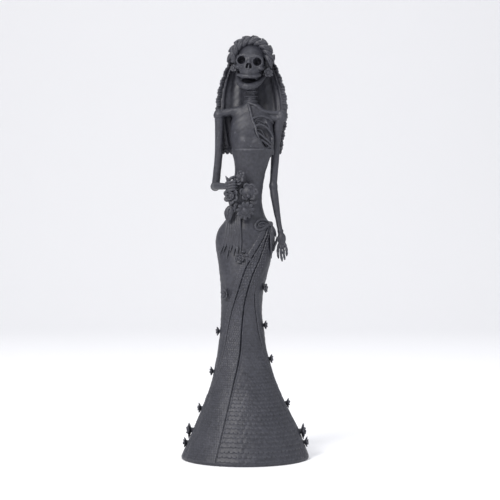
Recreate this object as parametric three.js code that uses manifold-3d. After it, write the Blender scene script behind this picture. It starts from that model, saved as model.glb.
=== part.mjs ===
// A catrina: a skeleton lady in a fitted dress that flares to a wide hem, with a veil, a braided
// crown and a bouquet held at her waist. She is hand-built dark clay, fired as one piece, and stands
// on the flat underside of the hem. Millimetres, +Z up, facing -Y; the origin is the middle of the
// underside. Her left and right are given as the viewer sees them: left is -X.
import * as THREE from "three";
import { mergeVertices } from "three/addons/utils/BufferGeometryUtils.js";
import Module from "manifold-3d";

const wasm = await Module();
wasm.setup();

// Driving dimensions
const HEIGHT = 400;
const HEM = { z: 0, x: 0, y: 0, w: 61.4, d: 56 }; // half width and half depth of the hem
const KNEE = { z: 141, x: -3.3, y: -0.5, w: 19.4, d: 17.5 }; // the dress's narrowest place
const HEM_LIP = 3; // height of the rounded lip round the hem
const BREASTS = [
  { x: -2.6, z: 299 },
  { x: 15.4, z: 297 },
];
const BREAST = { rise: 4.4, spread: 6.5 };
const NECK = { x: 5.7, y: 1.5, foot: 331, top: 353, r: 5.2 };
const HEAD = { x: 5.6, y: 0, z: HEIGHT - 29, roll: 4, yaw: -7 }; // turns in degrees
const CROWN = { x: 5.7, y: -4, z: HEIGHT - 23.4, r: 17.3 };
const VEIL = { x: 6.2, foot: 290, top: HEIGHT - 8, thick: 2.8, scallop: 1.2, reach: 78 };
const CORD_R = 1.2; // raised seams of the skirt
const CLAY = { color: 0x2b2c33, roughness: 0.55, metalness: 0 };

// Sections of the body: height, centre, half width and half depth
const SECTIONS = [
  HEM,
  { z: 28, x: 0.8, y: 0, w: 49.6, d: 45.5 },
  { z: 66, x: -0.9, y: 0, w: 32.8, d: 30 },
  { z: 95, x: -2.4, y: 0, w: 24.8, d: 22.5 },
  { z: 120, x: -2.8, y: 0, w: 20.8, d: 18.8 },
  KNEE,
  { z: 157, x: -2.8, y: -1.5, w: 20, d: 18.7 },
  { z: 174, x: -1.4, y: -1.5, w: 22.4, d: 21 }, // thighs
  { z: 190, x: -0.5, y: 0.5, w: 25.5, d: 21.5 },
  { z: 206, x: 0, y: 2.5, w: 28, d: 21 }, // hips
  { z: 217, x: 1.3, y: 1.5, w: 25.8, d: 20 },
  { z: 229, x: 1.5, y: 0.5, w: 17.8, d: 16 }, // belly
  { z: 247, x: 2.5, y: 1.5, w: 13.6, d: 12 }, // waist
  { z: 269, x: 4.8, y: 0.3, w: 14.5, d: 12 },
  { z: 281, x: 6.2, y: -0.5, w: 16.5, d: 13 }, // foot of the rib cage
  { z: 289, x: 7.2, y: -1, w: 19.2, d: 14 },
  { z: 296, x: 7.2, y: -1.5, w: 20.2, d: 14.7 }, // bust
  { z: 304, x: 6.6, y: -1, w: 20.6, d: 14.4 },
  { z: 316, x: 6.2, y: 0.2, w: 19.6, d: 11.8 }, // chest
  { z: 327, x: 6, y: 1.2, w: 15.5, d: 8 }, // shoulders
  { z: 336, x: 5.8, y: 1.5, w: 6, d: 5.2 }, // foot of the neck
];

const FRONT = new THREE.Vector3(0, -1, 0);
const UP = new THREE.Vector3(0, 0, 1);
const { asin, atan2, cos, exp, floor, min, max, PI, sin } = Math;
const rad = THREE.MathUtils.degToRad;
const mix = THREE.MathUtils.lerp;
const clamp = THREE.MathUtils.clamp;
const vec = (p) => (p.isVector3 ? p : new THREE.Vector3(...p));

// A value on a smooth curve through [place, value] knots.
function through(knots, at) {
  const last = knots.length - 1;
  const above = knots.findIndex((k) => k[0] > at);
  const i = above < 0 ? last - 1 : max(above - 1, 0);
  const slope = (j) => {
    const a = knots[max(j - 1, 0)];
    const b = knots[min(j + 1, last)];
    return (b[1] - a[1]) / (b[0] - a[0]);
  };
  const span = knots[i + 1][0] - knots[i][0];
  const t = clamp((at - knots[i][0]) / span, 0, 1);
  return (
    knots[i][1] * (1 + 2 * t) * (1 - t) ** 2 +
    knots[i + 1][1] * (3 - 2 * t) * t ** 2 +
    span * (slope(i) * t * (1 - t) ** 2 - slope(i + 1) * t ** 2 * (1 - t))
  );
}

// The body's cross-section at a height.
function section(z) {
  const read = (key) => through(SECTIONS.map((s) => [s.z, s[key]]), z);
  const lip = 1.5 * max(1 - z / HEM_LIP, 0) ** 2;
  return { x: read("x"), y: read("y"), w: read("w") - lip, d: read("d") - lip };
}

// A point on the body at a height and a bearing, or that far outside it. Bearings are degrees from
// the front: 90 is the right flank, -90 the left one.
function onBody(z, bearing, out = 0) {
  const s = section(z);
  const a = rad(bearing);
  return new THREE.Vector3(s.x + (s.w + out) * sin(a), s.y - (s.d + out) * cos(a), z);
}

// A point on the front of the body, across from the middle line.
function onFront(x, z, out = 0) {
  const s = section(z);
  const share = clamp((x - s.x) / s.w, -1, 1);
  return onBody(z, asin(share) / rad(1), out);
}

function solidOf(geometry) {
  geometry.deleteAttribute("normal");
  geometry.deleteAttribute("uv");
  const merged = mergeVertices(geometry, 1e-3);
  return new wasm.Manifold(
    new wasm.Mesh({
      numProp: 3,
      vertProperties: merged.attributes.position.array,
      triVerts: new Uint32Array(merged.index.array),
    }),
  );
}

function geometryOf(solid) {
  const mesh = solid.getMesh();
  const geometry = new THREE.BufferGeometry();
  geometry.setAttribute("position", new THREE.BufferAttribute(mesh.vertProperties, 3));
  geometry.setIndex(new THREE.BufferAttribute(mesh.triVerts, 1));
  geometry.computeVertexNormals();
  return geometry;
}

// Moves every vertex of a geometry to where place(x, y, z) says.
function shaped(geometry, place) {
  const position = geometry.attributes.position;
  for (let i = 0; i < position.count; i++) {
    const moved = place(position.getX(i), position.getY(i), position.getZ(i));
    position.setXYZ(i, ...vec(moved));
  }
  return solidOf(geometry);
}

const joined = (solids) => wasm.Manifold.union(solids);

// An ellipsoid.
function ball(centre, radii, turn = [0, 0, 0], [across, high] = [8, 5]) {
  const matrix = new THREE.Matrix4().compose(
    vec(centre),
    new THREE.Quaternion().setFromEuler(new THREE.Euler(...turn.map(rad))),
    vec(radii),
  );
  return solidOf(new THREE.SphereGeometry(1, across, high).applyMatrix4(matrix));
}

// A rod on a smooth curve through points. Width and depth are half sizes, one value or several
// spread along it, and the depth is measured towards facing.
function rod(points, width, depth = width, { sides = 4, steps = 6, facing = FRONT } = {}) {
  const curve = new THREE.CatmullRomCurve3(points.map(vec));
  const sizeAt = (given, t) => {
    const list = [given].flat();
    const at = t * (list.length - 1);
    const i = floor(at);
    return mix(list[i], list[min(i + 1, list.length - 1)], at - i);
  };
  return shaped(new THREE.CylinderGeometry(1, 1, 1, sides, steps), (x, y, z) => {
    const t = y + 0.5;
    const along = curve.getTangentAt(t);
    const side = new THREE.Vector3().crossVectors(facing, along).normalize();
    const out = new THREE.Vector3().crossVectors(along, side);
    return curve
      .getPointAt(t)
      .addScaledVector(side, x * sizeAt(width, t))
      .addScaledVector(out, -z * sizeAt(depth, t));
  });
}

// A flower: a dished cup with a lobed rim, one lobe for each petal. A big one has a bud in it and
// rounder petals. Its back runs out to a point, as deep as given in shares of its radius.
function flower(centre, facing, radius, { count = 5, deep = 0.7, big = false } = {}) {
  const axis = facing.clone().normalize();
  const turn = new THREE.Quaternion().setFromUnitVectors(new THREE.Vector3(0, 1, 0), axis);
  const RIM = sin(PI / 3); // how far the geometry's two rims stand from its axis
  const [edges, phase] = big ? [3 * count, PI / 3] : [2 * count, 0];
  const cup = shaped(new THREE.SphereGeometry(1, edges, 3), (x, y, z) => {
    const lobe = 0.74 + 0.26 * ((1 + cos(count * atan2(z, -x) + phase)) / 2) ** 0.5;
    const height = [-deep, -0.1, 0.4, 0.15][Math.round((y + 1) * 1.5)];
    const spread = (radius * lobe) / RIM;
    const place = new THREE.Vector3(x * spread, height * radius, z * spread);
    return place.applyQuaternion(turn).add(centre);
  });
  if (!big) return cup;
  const middle = centre.clone().addScaledVector(axis, radius * 0.25);
  return cup.add(ball(middle, [1, 1, 1].map(() => radius * 0.34), [0, 0, 0], [5, 3]));
}

// How far the breasts stand out of the chest under the bodice.
const bust = (x, z) =>
  BREASTS.reduce((sum, b) => {
    const away = ((x - b.x) ** 2 + (z - b.z) ** 2) / (2 * BREAST.spread ** 2);
    return sum + BREAST.rise * exp(-away);
  }, 0);

// The dress and torso in one form, from the hem to the neck.
function body() {
  const SIDES = 28;
  const LONGEST = 21;
  const heights = [0, HEM_LIP];
  for (const s of SECTIONS.slice(1)) {
    const from = heights.at(-1);
    if (s.z - from > LONGEST) heights.push((from + s.z) / 2);
    heights.push(s.z);
  }
  const rings = heights.length - 1;
  return shaped(new THREE.CylinderGeometry(1, 1, 1, SIDES, rings), (x, y, z) => {
    const height = heights[Math.round((y + 0.5) * rings)];
    const s = section(height);
    const across = s.x + s.w * x;
    const forward = max(z, 0) * bust(across, height);
    return [across, s.y - s.d * z - forward, height];
  });
}

// The open side of the chest, where the dress has fallen away from the ribs.
const chestHollow = () => ball([17.6, -13.5, 308], [8.2, 9, 15], [0, -14, 0], [10, 8]);

// Ribs bowed across the open side of the chest, each lower and steeper than the one above. Each has
// the x and z of its ends and how far it bows up between them.
const ribs = () =>
  [
    { from: [7, 320.5], to: [26.3, 316.5], bow: 3.6 },
    { from: [9, 313], to: [25.9, 303], bow: 5 },
    { from: [11, 307.5], to: [26, 294.5], bow: 3 },
    { from: [14.5, 300.5], to: [26.4, 289.5], bow: 1.6 },
  ].map(({ from, to, bow }) => {
    const points = [0, 0.25, 0.5, 0.75, 1].map((t) =>
      onFront(mix(from[0], to[0], t), mix(from[1], to[1], t) + bow * sin(t * PI), 0.3),
    );
    return rod(points, 1.05, 1.1, { steps: 5 });
  });

// The scalloped edge of the dress, from the neck down across the chest to the flank.
function bodiceEdge() {
  const points = [
    [3.6, 332],
    [5.2, 323.5],
    [6.8, 317],
    [10, 310],
    [14, 299],
    [19, 292],
    [26, 287.5],
  ].map(([x, z]) => onFront(x, z, 0.6));
  return rod(points, [1, 1.6, 1.1, 1.7, 1.1, 1.7, 1.1, 1.6, 1], 1.2, { steps: 9 });
}

// The neck, a stack of vertebrae.
function neck() {
  const BONES = 4;
  const pitch = (NECK.top - NECK.foot) / BONES;
  const profile = [new THREE.Vector2(0, 0)];
  for (let i = 0; i < BONES; i++) {
    profile.push(new THREE.Vector2(NECK.r * 0.74, i * pitch + 0.1));
    profile.push(new THREE.Vector2(NECK.r, (i + 0.35) * pitch));
    profile.push(new THREE.Vector2(NECK.r, (i + 0.7) * pitch));
  }
  profile.push(new THREE.Vector2(0, BONES * pitch));
  return shaped(new THREE.LatheGeometry(profile, 9), (x, y, z) => [
    NECK.x + x,
    NECK.y - z,
    NECK.foot + y,
  ]);
}

// The skull in its own frame: x to the right, y to the back, z up, centred between the ears.
function skull() {
  const bone = joined([
    ball([0, 2, 6], [15, 17, 15], [0, 0, 0], [11, 8]), // brain case
    ball([0, -7, 2], [13.4, 9.5, 9], [0, 0, 0], [10, 6]), // brow and cheekbones
    ball([0.2, -8, -4.5], [9.6, 9.6, 12.5], [0, 0, 0], [10, 6]), // upper jaw
    ball([1, -7, -16], [9, 9, 7.4], [0, 0, 0], [8, 6]), // lower jaw
    rod([[-11.6, 4, -2], [-8, -4, -16.5]], 2.6, 3.8, { steps: 1, facing: UP }), // jaw hinges
    rod([[12, 4, -2], [9.4, -4, -16]], 2.6, 3.8, { steps: 1, facing: UP }),
  ]);
  const hollows = [
    ball([-7.3, -16, 4.6], [4.4, 6.5, 3.8], [0, 0, 0], [7, 4]), // eye sockets
    ball([7.9, -16, 4], [4.5, 6.5, 3.7], [0, 0, 0], [7, 4]),
    ball([-1.6, -17.5, -1], [1.6, 4, 2.7], [0, -14, 0], [5, 4]), // nose
    ball([1.6, -17.5, -1], [1.6, 4, 2.7], [0, 14, 0], [5, 4]),
    rod([[-11, -10, -12], [-5, -15, -13.6], [1, -17, -14.2], [7, -15, -13.2], [12.6, -10, -9.6]], 7, 1.7, {
      sides: 4,
      steps: 4,
      facing: UP,
    }), // open mouth
  ];
  return bone.subtract(joined(hollows));
}

function head() {
  const place = new THREE.Matrix4().compose(
    vec([HEAD.x, HEAD.y, HEAD.z]),
    new THREE.Quaternion().setFromEuler(new THREE.Euler(0, rad(HEAD.roll), rad(HEAD.yaw), "ZYX")),
    vec([1, 1, 1]),
  );
  return skull().transform(place.elements);
}

// The braid over the brow: thick leaf-shaped strands twisted on an arc, and a thinner row behind.
function crown() {
  const [FROM, TO] = [180, -16];
  const rows = [
    { y: CROWN.y - 2.6, count: 8, reach: CROWN.r, long: 7.2, thick: 3.1, lean: 28 },
    { y: CROWN.y + 3.5, count: 6, reach: CROWN.r + 1.8, long: 7.6, thick: 3.2, lean: -28 },
  ];
  const at = (angle, reach, y) => [
    CROWN.x + reach * cos(rad(angle)),
    y,
    CROWN.z + reach * sin(rad(angle)),
  ];
  const core = rod(
    [0, 0.25, 0.5, 0.75, 1].map((t) => at(mix(FROM, TO, t), CROWN.r - 0.8, CROWN.y)),
    3.4,
    5.5,
    { sides: 4, steps: 6 },
  );
  const strands = rows.flatMap((row) =>
    Array.from({ length: row.count }, (_, i) => {
      const angle = mix(FROM, TO, (i + 0.5) / row.count);
      const turn = 90 - angle - row.lean;
      const radii = [row.long, row.thick, row.thick];
      return ball(at(angle, row.reach, row.y), radii, [0, turn, 0], [5, 4]);
    }),
  );
  return [core, ...strands];
}

// Small sprigs at the crown's ends and flowers at the ears.
const trims = () => [
  ball([23.5, -6, 387], [3.8, 1.6, 1.5], [0, -50, 0], [5, 3]),
  ball([24.5, -5, 382], [3.6, 1.6, 1.5], [0, 20, 0], [5, 3]),
  flower(vec([-10.6, -6, 368]), vec([-0.4, -1, 0]), 3.6, { deep: 4 }),
  flower(vec([21.4, -5, 364.5]), vec([0.4, -1, 0]), 4.4, { deep: 4 }),
];

// The veil, a sheet bowed round the back of the head and shoulders, with scalloped edges.
function veil() {
  const [ACROSS, HIGH] = [10, 11];
  const halfWidth = [
    [290, 28],
    [306, 30.5],
    [322, 33],
    [340, 32.6],
    [357, 28.6],
    [376, 20.5],
    [392, 11],
  ];
  const back = [
    [290, 13.5],
    [320, 11.5],
    [345, 15.5],
    [372, 19],
    [385, 16],
    [392, 8],
  ];
  const wrap = [
    [290, 5],
    [322, 8],
    [345, 12],
    [372, 16],
    [392, 8],
  ];
  const reach = rad(VEIL.reach);
  return shaped(new THREE.BoxGeometry(1, 1, 1, ACROSS, HIGH, 1), (u, v, w) => {
    const row = Math.round((v + 0.5) * HIGH);
    const z = mix(VEIL.foot, VEIL.top, row / HIGH);
    const lace = row % 2 ? VEIL.scallop : 0;
    const bow = 2 * u;
    const folds = 0.8 * cos(bow * 4 * PI) * (1 - bow ** 4);
    const out = folds - w * VEIL.thick;
    const side = sin(bow * reach) / sin(reach);
    const hang = row ? 0 : 2 * cos(bow * 7 * PI) ** 2;
    return [
      VEIL.x + (through(halfWidth, z) + lace * bow ** 2 + out) * side,
      through(back, z) + out - through(wrap, z) * (1 - cos(bow * reach)),
      z - hang,
    ];
  });
}

// The collarbones and the arms: one is bent to hold the bouquet, the other hangs.
const arms = () => [
  rod([[4, 0, 333], [-8, 0, 328], [-25.5, 1, 327]], [3.4, 2.6, 2.2], 2.6, { sides: 5, facing: UP }),
  rod([[6, -2, 334], [13.5, -2, 331], [20, -1, 326.8], [36, 1, 326]], 2.1, 2.1, {
    sides: 5,
    facing: UP,
  }),
  ball([-24.2, 1.5, 324], [4.4, 4.3, 5], [0, 0, 0], [6, 4]),
  ball([34, 1.5, 323], [4.4, 4.3, 5.4], [0, 0, 0], [6, 4]),
  rod([[-24, 2, 324], [-24.8, 4.5, 291], [-26.4, 7, 273], [-28, 8.5, 256.5]], [4.1, 3.9, 3.7], 3.9, {
    sides: 6,
    steps: 3,
  }),
  ball([-28, 8.5, 257.2], [4.2, 4, 3.8], [0, 0, 0], [6, 4]),
  rod([[-28.4, 9.5, 257.4], [-26, -4, 257.2], [-16, -20, 256.6]], [3.7, 3.3, 2.8], 3.3, {
    sides: 6,
    steps: 3,
    facing: UP,
  }),
  rod(
    [
      [33, 2, 323],
      [30, 4, 308],
      [28.4, 5.5, 282],
      [26.4, 6, 257.5],
      [28.8, 4, 243],
      [33, 0.5, 214],
    ],
    [4.1, 4, 3.9, 3.9, 3.4, 2.7],
    3.8,
    { sides: 6, steps: 7 },
  ),
];

// The hanging hand: a narrow palm, four long fingers and a thumb.
function hangingHand() {
  const palm = ball([34.2, -0.5, 208], [4.4, 2.4, 8]);
  const digits = [
    { root: [31.6, 210], knuckle: [28.6, 203], tip: [27, 197] }, // thumb
    { root: [32.2, 203], knuckle: [31.4, 196], tip: [31.8, 189] },
    { root: [33.8, 203], knuckle: [34, 194], tip: [35, 186.5] },
    { root: [35.4, 203], knuckle: [36.6, 195], tip: [37.6, 188] },
    { root: [37, 204], knuckle: [39, 197.5], tip: [39.4, 191.5] },
  ].map(({ root, knuckle, tip }) => {
    const points = [
      [root[0], -0.5, root[1]],
      [knuckle[0], -1.8, knuckle[1]],
      [tip[0], -0.6, tip[1]],
    ];
    return rod(points, [1.4, 1.3, 0.8], 1.3, { steps: 2 });
  });
  return [palm, ...digits];
}

// The hand that grips the bouquet's stems, its fingers wrapped round from the left.
function grippingHand() {
  const palm = ball([-15.5, -19.5, 256.4], [4, 4, 5.6], [0, 0, 0], [6, 5]);
  const fingers = Array.from({ length: 3 }, (_, i) => {
    const z = 259.4 - 2.7 * i;
    const points = [
      [-18, -21, z],
      [-15, -24.6, z - 0.3],
      [-11, -23, z - 0.8],
    ];
    return rod(points, 1.2, 1.2, { steps: 2, facing: UP });
  });
  return [palm, ...fingers];
}

// The bouquet: flowers round a core, and long leaves hanging from it over the hip.
function bouquet() {
  const core = ball([-5, -14.5, 246], [11, 7.5, 17]);
  const blooms = [
    { at: [-4, -19.5, 268], radius: 3.4 },
    { at: [-6.8, -21, 262.5], radius: 6 },
    { at: [3.2, -20.5, 251.5], radius: 7.8 },
    { at: [-12.4, -21, 248], radius: 7.6 },
    { at: [0, -22, 234.5], radius: 8.6, count: 8 },
    { at: [-14.5, -16.5, 233], radius: 6, count: 3, deep: 1.6 },
  ].map(({ at, radius, count = 5, deep = 0.9 }) => {
    const facing = vec([at[0] + 5, -16, (at[2] - 248) * 0.4]);
    return flower(vec(at), facing, radius, { count, deep, big: radius > 5 });
  });
  const leaves = Array.from({ length: 6 }, (_, i) => {
    const share = i / 5;
    const foot = 193 + 3.5 * sin(i * 2.4);
    const points = [
      onFront(mix(-14, -4, share), 230, 3),
      onFront(mix(-19, -4.5, share), 213, 1.2),
      onFront(mix(-23, -4, share), foot, 0.9),
    ];
    return rod(points, [1.3, 1.8, 1.9, 0.4], 1.3, { sides: 3, steps: 4 });
  });
  return [core, ...blooms, ...leaves];
}

// The wrap's knot on the hip, with its loop and hanging tails.
function bow() {
  const knot = ball(onFront(22.4, 222, 1.2), [2.8, 2.8, 2.6], [0, 0, 0], [6, 4]);
  const loop = [
    [22, 222.4],
    [15, 226],
    [9.8, 223.6],
    [9, 219.5],
    [12, 216.6],
    [18, 218.6],
    [22, 221.6],
  ].map(([x, z]) => onFront(x, z, 1.3));
  const tails = [
    [23.5, 24, 190],
    [25.5, 27.6, 206],
    [27, 29.4, 211],
  ].map(([middle, end, low]) => {
    const points = [onFront(22.6, 222, 1.6), onFront(middle, (222 + low) / 2, 1.4)];
    return rod([...points, onFront(end, low, 1)], [1.2, 1.8, 1.2], 1.2, { steps: 3 });
  });
  return [knot, rod(loop, 1.1, 1.4, { steps: 9 }), ...tails];
}

// Raised seams of the skirt, as [z, x] down the front: the wrap's edge and two seams of its panels.
function seams() {
  const wrapEdge = [
    [219, 21],
    [208, 17],
    [195, 9.5],
    [182, 1.5],
    [160, -6],
    [136, -13],
    [102, -19.5],
    [72, -28.6],
    [44, -42],
    [2, -58],
  ];
  const leftSeam = [
    [217, 22.4],
    [193, 15.2],
    [174, 7],
    [150, 0],
    [125, -3],
    [99, -5],
    [66, -12],
    [38, -18.5],
    [2, -27],
  ];
  const rightSeam = [
    [154, 9],
    [125, 11.6],
    [102, 17],
    [78, 25],
    [54, 35],
    [30, 45.5],
    [2, 57],
  ];
  return [wrapEdge, leftSeam, rightSeam].map((line) => {
    const STEPS = 8;
    const knots = [...line].reverse();
    const points = Array.from({ length: STEPS + 1 }, (_, i) => {
      const z = mix(knots[0][0], line[0][0], i / STEPS);
      return onFront(through(knots, z), z, 0.1);
    });
    return rod(points, CORD_R, CORD_R, { steps: STEPS });
  });
}

// Flowers pinned down both flanks of the skirt, with larger ones near the hem.
const skirtFlowers = () =>
  [
    { bearing: -92, z: 120, radius: 4.4 },
    { bearing: -92, z: 82, radius: 4.4 },
    { bearing: -92, z: 47, radius: 4.8 },
    { bearing: -92, z: 26, radius: 7.6 },
    { bearing: -88, z: 15, radius: 5 },
    { bearing: 72, z: 161.5, radius: 4.6 },
    { bearing: 88, z: 126, radius: 4.4 },
    { bearing: 92, z: 94, radius: 4.4 },
    { bearing: 92, z: 52, radius: 4.6 },
    { bearing: 92, z: 25, radius: 7.6 },
    { bearing: 88, z: 15, radius: 5 },
    { bearing: -48, z: 156, radius: 4.8 },
    { bearing: -10, z: 190, radius: 4.6 },
  ].map(({ bearing, z, radius }) => {
    const facing = onBody(z, bearing, 10).sub(onBody(z, bearing));
    return flower(onBody(z, bearing, 1.4), facing, radius);
  });

const torso = body().subtract(chestHollow());
const figure = joined([
  torso,
  ...ribs(),
  bodiceEdge(),
  neck(),
  head(),
  ...crown(),
  ...trims(),
  veil(),
  ...arms(),
  ...hangingHand(),
  ...grippingHand(),
  ...bouquet(),
  ...bow(),
  ...seams(),
  ...skirtFlowers(),
]);

const mesh = new THREE.Mesh(geometryOf(figure), new THREE.MeshStandardMaterial(CLAY));
mesh.name = "catrina_figure";
const group = new THREE.Group();
group.add(mesh);

export default group;
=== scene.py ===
from itertools import product
from math import asin, ceil, cos, degrees, pi, radians, sin

import bpy
import numpy as np
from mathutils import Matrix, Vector


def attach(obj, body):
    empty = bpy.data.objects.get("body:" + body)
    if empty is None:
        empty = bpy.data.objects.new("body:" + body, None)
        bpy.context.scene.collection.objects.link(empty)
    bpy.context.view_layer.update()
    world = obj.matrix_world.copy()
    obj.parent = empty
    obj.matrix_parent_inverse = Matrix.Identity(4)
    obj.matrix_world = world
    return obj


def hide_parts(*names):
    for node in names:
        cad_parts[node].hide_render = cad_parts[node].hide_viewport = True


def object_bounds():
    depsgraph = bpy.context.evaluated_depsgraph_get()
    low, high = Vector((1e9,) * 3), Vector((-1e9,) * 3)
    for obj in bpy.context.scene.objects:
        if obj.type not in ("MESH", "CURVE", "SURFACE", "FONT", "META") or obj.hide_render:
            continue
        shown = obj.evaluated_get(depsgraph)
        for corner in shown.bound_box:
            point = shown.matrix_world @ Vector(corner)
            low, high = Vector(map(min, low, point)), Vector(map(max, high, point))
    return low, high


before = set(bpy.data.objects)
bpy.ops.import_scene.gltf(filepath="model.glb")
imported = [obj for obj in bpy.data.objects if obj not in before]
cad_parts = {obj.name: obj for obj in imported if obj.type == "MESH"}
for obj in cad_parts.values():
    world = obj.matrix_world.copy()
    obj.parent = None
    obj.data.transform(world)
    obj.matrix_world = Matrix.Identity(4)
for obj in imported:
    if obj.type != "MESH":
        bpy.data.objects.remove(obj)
frame_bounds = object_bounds()

# The scene dresses the catrina's solid: it repeats its forms in fine mesh and adds the carving. Sizes
# are millimetres until a mesh is made, +Z up, she faces -Y, and left is -X, as the viewer sees her.
MM = 0.001
NODE = "catrina_figure"

# Driving dimensions
HEIGHT = (frame_bounds[1][2] - frame_bounds[0][2]) / MM
TOP_OF_DRESS = 292
HEM = (0, 0, 0, 61.4, 56)  # height, centre and half sizes of the hem
KNEE = (141, -3.3, -0.5, 19.4, 17.5)
HEAD = {"at": (5.6, 0, HEIGHT - 29), "roll": 4, "yaw": -7}
CROWN = {"x": 5.7, "y": -4, "z": HEIGHT - 23.4, "r": 17.3}
NECK = {"x": 5.7, "y": 1.5, "foot": 331, "top": 353, "r": 5.2}
BREASTS = ((-2.6, 299), (15.4, 297))
BREAST_RISE, BREAST_SPREAD = 4.4, 6.5

# Sections of the body: height, centre x and y, half width and half depth
SECTIONS = np.array([
    HEM,
    (28, 0.8, 0, 49.6, 45.5),
    (66, -0.9, 0, 32.8, 30),
    (95, -2.4, 0, 24.8, 22.5),
    (120, -2.8, 0, 20.8, 18.8),
    KNEE,
    (157, -2.8, -1.5, 20, 18.7),
    (174, -1.4, -1.5, 22.4, 21),
    (190, -0.5, 0.5, 25.5, 21.5),
    (206, 0, 2.5, 28, 21),
    (217, 1.3, 1.5, 25.8, 20),
    (229, 1.5, 0.5, 17.8, 16),
    (247, 2.5, 1.5, 13.6, 12),
    (269, 4.8, 0.3, 14.5, 12),
    (281, 6.2, -0.5, 16.5, 13),
    (289, 7.2, -1, 19.2, 14),
    (296, 7.2, -1.5, 20.2, 14.7),
    (304, 6.6, -1, 20.6, 14.4),
    (316, 6.2, 0.2, 19.6, 11.8),
    (327, 6, 1.2, 15.5, 8),
    (336, 5.8, 1.5, 6, 5.2),
], float)

# Lines down the front of the skirt, as height and x: the wrap's edge and the seams of its panels
WRAP_EDGE = ((2, -58), (44, -42), (72, -28.6), (102, -19.5), (136, -13), (160, -6), (182, 1.5),
             (195, 9.5), (208, 17), (219, 21))
LEFT_SEAM = ((2, -27), (38, -18.5), (66, -12), (99, -5), (125, -3), (150, 0), (174, 7), (193, 15.2),
             (217, 22.4))
RIGHT_SEAM = ((2, 57), (30, 45.5), (54, 35), (78, 25), (102, 17), (125, 11.6), (154, 9), (172, 12.5),
              (190, 19.5), (217, 24))
RIGHT_SEAM_TOP = 156


# ---- Numbers and curves

def through(knots, at):
    """A value on a smooth curve through (place, value) knots, level beyond their ends."""
    place, value = np.array(knots, float).T
    last = len(place) - 1
    low = np.maximum(np.arange(last + 1) - 1, 0)
    high = np.minimum(np.arange(last + 1) + 1, last)
    slope = (value[high] - value[low]) / (place[high] - place[low])
    i = np.clip(np.searchsorted(place, at, "right") - 1, 0, last - 1)
    span = place[i + 1] - place[i]
    t = np.clip((at - place[i]) / span, 0, 1)
    level = value[i] * (1 + 2 * t) * (1 - t) ** 2 + value[i + 1] * (3 - 2 * t) * t**2
    return level + span * (slope[i] * t * (1 - t) ** 2 - slope[i + 1] * t**2 * (1 - t))


def smooth(low, high, at):
    """Rises from 0 at low to 1 at high."""
    t = np.clip((at - low) / (high - low), 0, 1)
    return t * t * (3 - 2 * t)


def bump(away, width):
    """A round ridge, 1 at away = 0 and 0 from width on."""
    return np.maximum(1 - (away / width) ** 2, 0) ** 1.5


def curve(points, count):
    """Points spread evenly along a smooth curve through the given ones."""
    p = np.array(points, float)
    if len(p) == 2:
        t = np.linspace(0, 1, count)[:, None]
        return p[0] * (1 - t) + p[1] * t
    steps = np.append(0, np.cumsum(np.linalg.norm(np.diff(p, axis=0), axis=1) ** 0.5))
    fine = np.linspace(0, steps[-1], 12 * count)
    dense = np.stack([through(np.stack([steps, p[:, i]], 1), fine) for i in range(3)], 1)
    run = np.append(0, np.cumsum(np.linalg.norm(np.diff(dense, axis=0), axis=1)))
    even = np.linspace(0, run[-1], count)
    return np.stack([np.interp(even, run, dense[:, i]) for i in range(3)], 1)


def unit(v):
    v = np.array(v, float)
    return v / np.linalg.norm(v)


def lumps(x, y, z, wave, seed=0):
    """Soft unevenness between about -1 and 1, whose swells are about a wave long."""
    dice = np.random.RandomState(seed)
    total = 0
    for _ in range(7):
        d = unit(dice.normal(size=3)) * 2 * pi / (wave * dice.uniform(0.7, 1.5))
        total = total + np.sin(d[0] * x + d[1] * y + d[2] * z + dice.uniform(0, 2 * pi))
    return total / 3


def cells(u, v, seed=0, loose=0.3):
    """For points in squares one unit wide, the distance to the nearest of their loosely set middles."""
    best = np.full(np.broadcast(u, v).shape, 9.0)
    for du, dv in product((-1, 0, 1), repeat=2):
        row = np.floor(v) + dv
        column = np.floor(u + 0.5 * (row % 2)) + du
        a, b = (np.sin(column * p + row * q + seed) * 43758.5 % 1 for p, q in ((127.1, 311.7), (269.5, 183.3)))
        x = column + 0.5 + loose * (a - 0.5) - 0.5 * (row % 2)
        y = row + 0.5 + loose * (b - 0.5)
        best = np.minimum(best, np.hypot(u - x, v - y))
    return best


# ---- The body's own surface

def section(z):
    """The body's centre x, centre y, half width and half depth at a height."""
    x, y, w, d = (through(SECTIONS[:, [0, i]], z) for i in range(1, 5))
    lip = 1.5 * np.maximum(1 - z / 3, 0) ** 2
    return x, y, w - lip, d - lip


def on_body(z, bearing, out=0.0):
    """A point on the body at a height and a bearing in degrees from the front, or outside it."""
    x, y, w, d = section(z)
    a = radians(bearing)
    return np.array([x + (w + out) * sin(a), y - (d + out) * cos(a), z])


def on_front(x, z, out=0.0):
    """A point on the front of the body."""
    cx, _, w, _ = section(z)
    return on_body(z, degrees(asin(min(max((x - cx) / w, -1), 1))), out)


def bust(x, z):
    """How far the breasts stand out of the chest."""
    total = 0
    for bx, bz in BREASTS:
        total = total + BREAST_RISE * np.exp(-((x - bx) ** 2 + (z - bz) ** 2) / (2 * BREAST_SPREAD**2))
    return total


# ---- Meshes

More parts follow.
